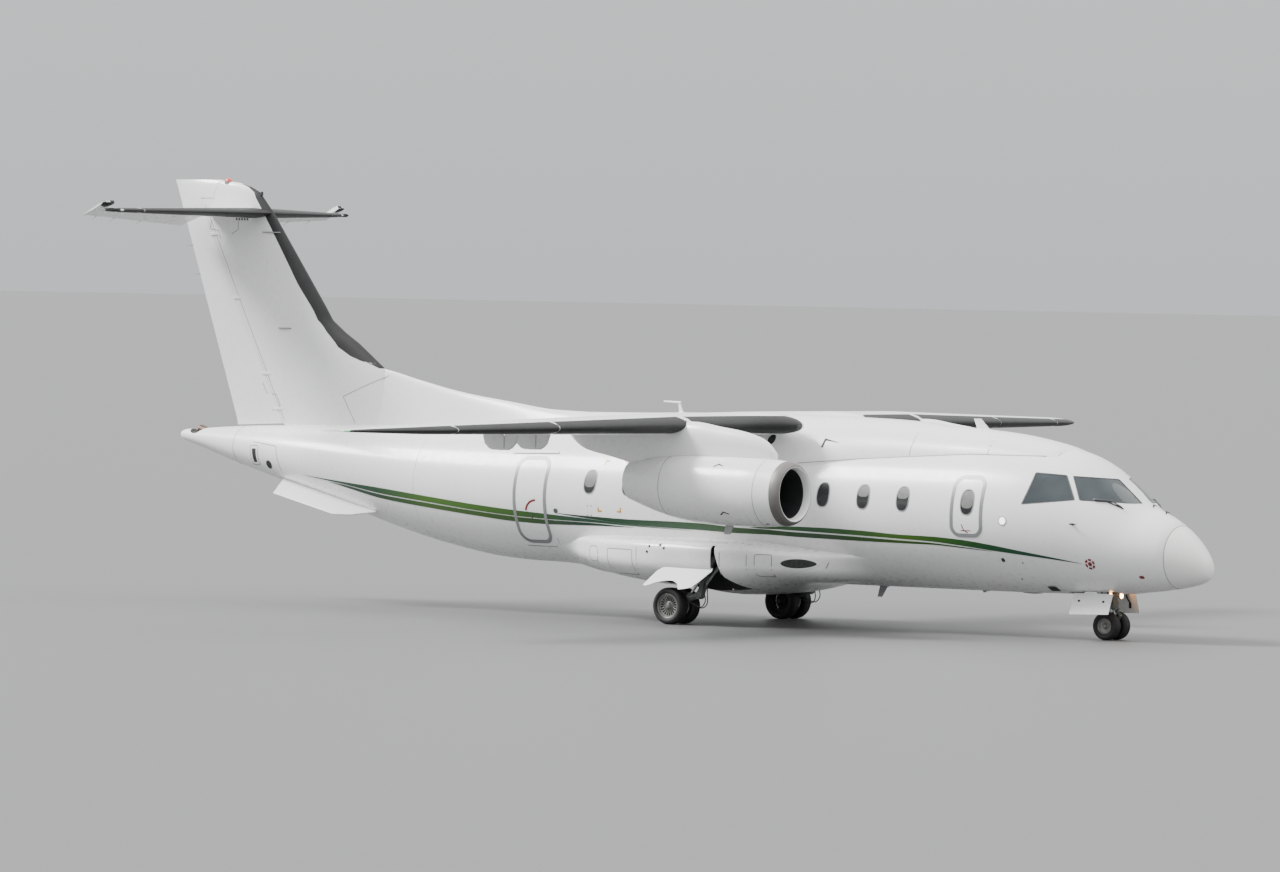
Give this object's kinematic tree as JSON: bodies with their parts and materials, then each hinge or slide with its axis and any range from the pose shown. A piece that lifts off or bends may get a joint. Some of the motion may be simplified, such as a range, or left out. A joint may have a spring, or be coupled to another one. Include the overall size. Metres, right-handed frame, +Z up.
{
  "type": "regional jet",
  "caption": "High-wing regional jet airliner parked on its wheels, with turbofans under the wing, a T-tail, belly gear fairings, and moving doors, flaps, control surfaces, fans and wheels.",
  "frame": {"origin": "on the ground, under the middle of the aircraft's bounding box", "axes": "+X to the nose, +Y to the left wing, +Z up"},
  "size_m": [21.28, 20.98, 7.24],
  "materials": {
    "skin_paint": "gloss",
    "composite_skin": "gloss",
    "glass": "gloss",
    "tyre": "matte",
    "gear_paint": "satin",
    "wheel_metal": "satin",
    "engine_metal": "satin",
    "fan_metal": "satin",
    "interior": "matte"
  },
  "bodies": {
    "airframe": {"fuselage": "skin_paint", "rear_fuselage": "composite_skin", "radome": "composite_skin", "tail_cone": "composite_skin", "wing_fairing": "skin_paint", "wing": "skin_paint", "fin": "composite_skin", "fin_tip": "composite_skin", "tailplane": "composite_skin", "nacelle_left": "skin_paint", "nacelle_right": "skin_paint", "pylon_left": "skin_paint", "pylon_right": "skin_paint", "engine_left": "engine_metal", "engine_right": "engine_metal", "sponson_left": "composite_skin", "sponson_right": "composite_skin", "belly_fairing": "composite_skin", "main_gear_door_left": "skin_paint", "main_gear_door_right": "skin_paint", "main_gear_leg_left": "gear_paint", "main_gear_leg_right": "gear_paint", "nose_gear_leg": "gear_paint", "nose_gear_door_left": "skin_paint", "nose_gear_door_right": "skin_paint", "ventral_strake_left": "composite_skin", "ventral_strake_right": "composite_skin", "service_door": "skin_paint", "rear_exit_door": "skin_paint", "front_window_left": "glass", "front_window_right": "glass", "side_window_left": "glass", "side_window_right": "glass", "flight_deck": "interior"},
    "fan_left": {"fan_left": "fan_metal"},
    "fan_right": {"fan_right": "fan_metal"},
    "nose_fork": {"nose_gear_fork": "gear_paint"},
    "nose_wheels": {"nose_tyre_left": "tyre", "nose_tyre_right": "tyre", "nose_wheel_hubs": "wheel_metal"},
    "main_wheels_left": {"main_tyre_outer_left": "tyre", "main_tyre_inner_left": "tyre", "main_wheel_hubs_left": "wheel_metal"},
    "main_wheels_right": {"main_tyre_outer_right": "tyre", "main_tyre_inner_right": "tyre", "main_wheel_hubs_right": "wheel_metal"},
    "rudder": {"rudder": "composite_skin"},
    "elevator_left": {"elevator_left": "composite_skin"},
    "elevator_right": {"elevator_right": "composite_skin"},
    "aileron_left": {"aileron_left": "skin_paint"},
    "aileron_right": {"aileron_right": "skin_paint"},
    "flap_inner_left": {"flap_inner_left": "skin_paint"},
    "flap_inner_right": {"flap_inner_right": "skin_paint"},
    "flap_outer_left": {"flap_outer_left": "skin_paint"},
    "flap_outer_right": {"flap_outer_right": "skin_paint"},
    "passenger_door": {"passenger_door": "skin_paint"},
    "baggage_door": {"baggage_door": "skin_paint"}
  },
  "joints": [
    {"name": "fan_spin_left", "type": "hinge", "parent": "airframe", "child": "fan_left", "pos_m": [4.34, 3.4, 2.2753], "axis": [1, 0, 0], "continuous": true},
    {"name": "fan_spin_right", "type": "hinge", "parent": "airframe", "child": "fan_right", "pos_m": [4.34, -3.4, 2.2753], "axis": [1, 0, 0], "continuous": true},
    {"name": "nose_steering", "type": "hinge", "parent": "airframe", "child": "nose_fork", "pos_m": [8.83, 0, 0.5], "axis": [0, 0, 1], "range_deg": [-60, 60]},
    {"name": "nose_wheel_roll", "type": "hinge", "parent": "nose_fork", "child": "nose_wheels", "pos_m": [8.79, 0, 0.226], "axis": [0, 1, 0], "continuous": true},
    {"name": "main_wheel_roll_left", "type": "hinge", "parent": "airframe", "child": "main_wheels_left", "pos_m": [1.38, 1.61, 0.303], "axis": [0, 1, 0], "continuous": true},
    {"name": "main_wheel_roll_right", "type": "hinge", "parent": "airframe", "child": "main_wheels_right", "pos_m": [1.38, -1.61, 0.303], "axis": [0, 1, 0], "continuous": true},
    {"name": "rudder_hinge", "type": "hinge", "parent": "airframe", "child": "rudder", "pos_m": [-8.59441, 0, 4], "axis": [-0.4504, 0, 0.8928], "range_deg": [-25, 25]},
    {"name": "elevator_hinge_right", "type": "hinge", "parent": "airframe", "child": "elevator_right", "pos_m": [-9.76, -1.7, 6.67], "axis": [0, 1, 0], "range_deg": [0, 50]},
    {"name": "elevator_hinge_left", "type": "hinge", "parent": "airframe", "child": "elevator_left", "pos_m": [-9.76, 1.7, 6.67], "axis": [0, 1, 0], "range_deg": [0, 50]},
    {"name": "aileron_hinge_right", "type": "hinge", "parent": "airframe", "child": "aileron_right", "pos_m": [1.065, -8.45, 3.24271], "axis": [0.0366, -0.9993, -0.003], "range_deg": [-20, 20]},
    {"name": "aileron_hinge_left", "type": "hinge", "parent": "airframe", "child": "aileron_left", "pos_m": [1.065, 8.45, 3.24271], "axis": [-0.0366, -0.9993, 0.003], "range_deg": [-20, 20]},
    {"name": "flap_inner_pivot_right", "type": "hinge", "parent": "airframe", "child": "flap_inner_right", "pos_m": [1.14, -2.3, 2.915], "axis": [0, -1, 0], "range_deg": [0, 32]},
    {"name": "flap_outer_pivot_right", "type": "hinge", "parent": "airframe", "child": "flap_outer_right", "pos_m": [1.16838, -5.55, 2.915], "axis": [0.0085, -1, 0], "range_deg": [0, 32]},
    {"name": "flap_inner_pivot_left", "type": "hinge", "parent": "airframe", "child": "flap_inner_left", "pos_m": [1.14, 2.3, 2.915], "axis": [0, -1, 0], "range_deg": [0, 32]},
    {"name": "flap_outer_pivot_left", "type": "hinge", "parent": "airframe", "child": "flap_outer_left", "pos_m": [1.16838, 5.55, 2.915], "axis": [-0.0085, -1, 0], "range_deg": [0, 32]},
    {"name": "passenger_door_hinge", "type": "hinge", "parent": "airframe", "child": "passenger_door", "pos_m": [6.76, 0.98534, 1.197], "axis": [-1, 0, 0], "range_deg": [0, 120]},
    {"name": "baggage_door_hinge", "type": "hinge", "parent": "airframe", "child": "baggage_door", "pos_m": [-3.1, 0.99591, 2.603], "axis": [0.9998, 0.0195, 0], "range_deg": [0, 85]}
  ],
  "couplings": [
    {"joint": "elevator_hinge_left", "follows": "elevator_hinge_right", "ratio": 1},
    {"joint": "aileron_hinge_left", "follows": "aileron_hinge_right", "ratio": -1},
    {"joint": "flap_outer_pivot_right", "follows": "flap_inner_pivot_right", "ratio": 1},
    {"joint": "flap_inner_pivot_left", "follows": "flap_inner_pivot_right", "ratio": 1},
    {"joint": "flap_outer_pivot_left", "follows": "flap_inner_pivot_right", "ratio": 1}
  ]
}
